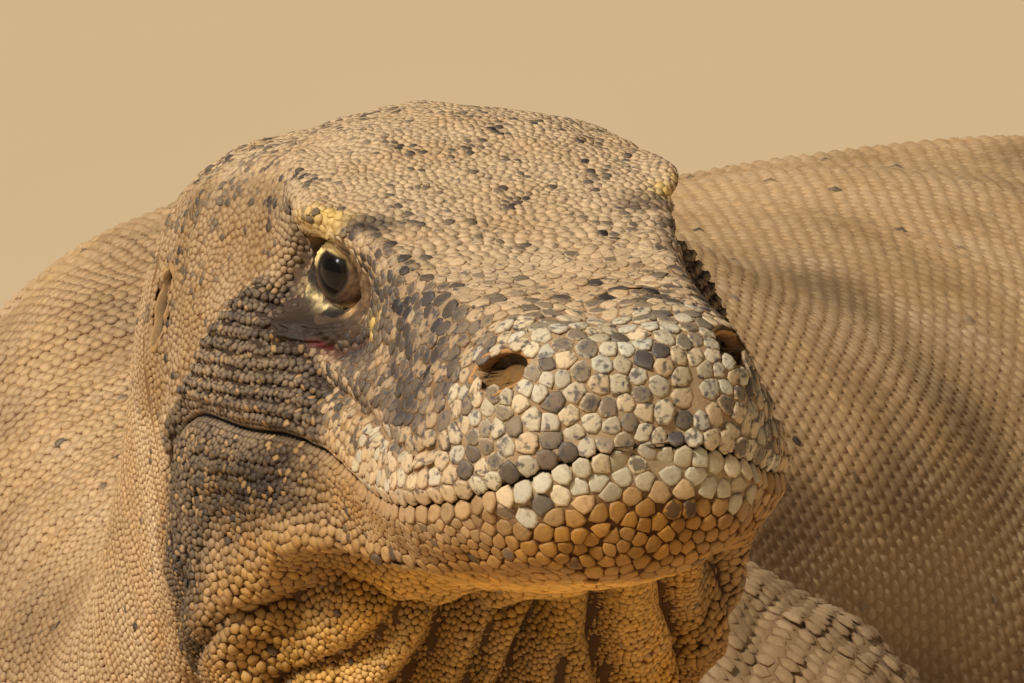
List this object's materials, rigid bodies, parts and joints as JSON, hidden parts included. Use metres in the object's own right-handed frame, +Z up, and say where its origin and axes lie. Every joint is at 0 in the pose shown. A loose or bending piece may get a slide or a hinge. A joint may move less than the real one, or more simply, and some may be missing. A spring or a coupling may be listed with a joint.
{
  "type": "komodo dragon",
  "caption": "Life-size Komodo dragon at rest, belly on the floor, chest propped on its forelegs, head raised and turned to its left.",
  "frame": {"origin": "the middle of the footprint, on the floor the belly, hands, feet and tail rest on", "axes": "-Y is the way the trunk faces, +X is the animal's left, +Z is up, off the floor"},
  "size_m": [1.1698, 2.2402, 0.3887],
  "materials": {
    "hide": "dusty matte scales",
    "horn": "worn horn",
    "eye": "wet gloss",
    "eardrum": "taut matte skin"
  },
  "bodies": {
    "root": {"claw_foot_left_1": "horn", "claw_foot_left_2": "horn", "claw_foot_left_3": "horn", "claw_foot_left_4": "horn", "claw_foot_left_5": "horn", "claw_foot_right_1": "horn", "claw_foot_right_2": "horn", "claw_foot_right_3": "horn", "claw_foot_right_4": "horn", "claw_foot_right_5": "horn", "claw_hand_left_1": "horn", "claw_hand_left_2": "horn", "claw_hand_left_3": "horn", "claw_hand_left_4": "horn", "claw_hand_left_5": "horn", "claw_hand_right_1": "horn", "claw_hand_right_2": "horn", "claw_hand_right_3": "horn", "claw_hand_right_4": "horn", "claw_hand_right_5": "horn", "ear_left": "eardrum", "ear_right": "eardrum", "eye_left": "eye", "eye_right": "eye", "foot_left": "hide", "foot_right": "hide", "forearm_left": "hide", "forearm_right": "hide", "hand_left": "hide", "hand_right": "hide", "head": "hide", "lower_jaw": "hide", "neck": "hide", "shank_left": "hide", "shank_right": "hide", "tail_base": "hide", "tail_middle": "hide", "tail_tip": "hide", "thigh_left": "hide", "thigh_right": "hide", "trunk": "hide", "upper_arm_left": "hide", "upper_arm_right": "hide"}
  },
  "joints": []
}
